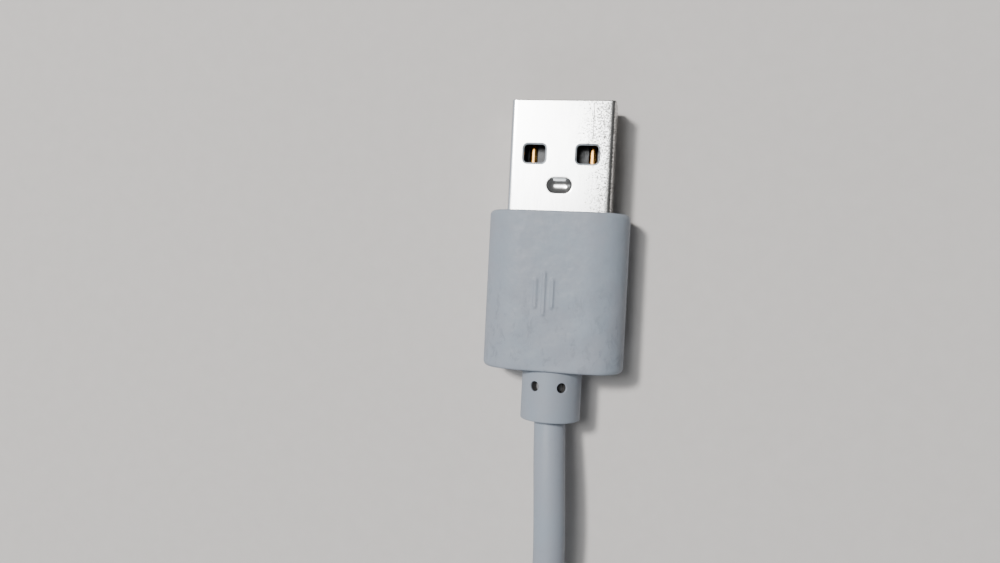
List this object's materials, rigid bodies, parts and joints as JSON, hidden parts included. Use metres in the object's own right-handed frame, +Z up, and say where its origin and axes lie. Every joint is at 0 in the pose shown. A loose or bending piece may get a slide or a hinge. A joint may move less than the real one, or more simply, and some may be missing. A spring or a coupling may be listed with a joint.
{
  "type": "usb microcontroller programmer",
  "caption": "Serial programming cable: metal type A plug with the bridge circuit moulded in its grey grip, a round cord in a tied hank and a single-row crimp socket.",
  "frame": {"origin": "on the table under the middle of the plug, halfway between the shell's front edge and the sleeve's rear end", "axes": "+Y the direction in which the plug is inserted, +X across its width, +Z up from the table"},
  "size_m": [0.0338, 0.1517, 0.0129],
  "materials": {
    "shell_metal": "bright nickel plating with fine scratches",
    "carrier_plastic": "dark glossy insulator",
    "contact_gold": "gold-plated spring blades",
    "board_laminate": "green solder mask over glass laminate",
    "chip_plastic": "matt black moulding compound",
    "lead_tin": "tinned leads",
    "crystal_can": "metal lid on a ceramic base",
    "ceramic": "fired ceramic",
    "resistor_film": "glazed film",
    "fuse_polymer": "polymer body",
    "solder": "bright solder",
    "inner_fill": "hard natural-coloured fill",
    "grip_vinyl": "matte light grey flexible vinyl with faint scuffs",
    "cord_vinyl": "matte light grey flexible vinyl",
    "wire_black": "smooth insulation",
    "wire_white": "smooth insulation",
    "wire_green": "smooth insulation",
    "wire_red": "smooth insulation",
    "tie_fabric": "black woven hook-and-loop strap",
    "shrink_polymer": "shrunk polymer sleeve",
    "housing_plastic": "black moulded housing",
    "terminal_tin": "plated crimp contacts"
  },
  "bodies": {
    "root": {"plug_shell": "shell_metal", "contact_carrier": "carrier_plastic", "contact_supply": "contact_gold", "contact_data_minus": "contact_gold", "contact_data_plus": "contact_gold", "contact_ground": "contact_gold", "circuit_board": "board_laminate", "bridge_chip": "chip_plastic", "bridge_chip_leads": "lead_tin", "crystal": "crystal_can", "capacitors": "ceramic", "resistors": "resistor_film", "resettable_fuse": "fuse_polymer", "solder_joints": "solder", "wire_black": "wire_black", "wire_white": "wire_white", "wire_green": "wire_green", "wire_red": "wire_red", "inner_mould": "inner_fill", "grip": "grip_vinyl", "strain_relief": "grip_vinyl", "jacket_end": "cord_vinyl", "cord": "cord_vinyl", "cord_hank": "cord_vinyl", "hank_tie": "tie_fabric", "shrink_sleeve": "shrink_polymer", "lead_black": "wire_black", "lead_white": "wire_white", "lead_green": "wire_green", "lead_red": "wire_red", "socket_housing": "housing_plastic", "socket_contacts": "terminal_tin"}
  },
  "joints": []
}
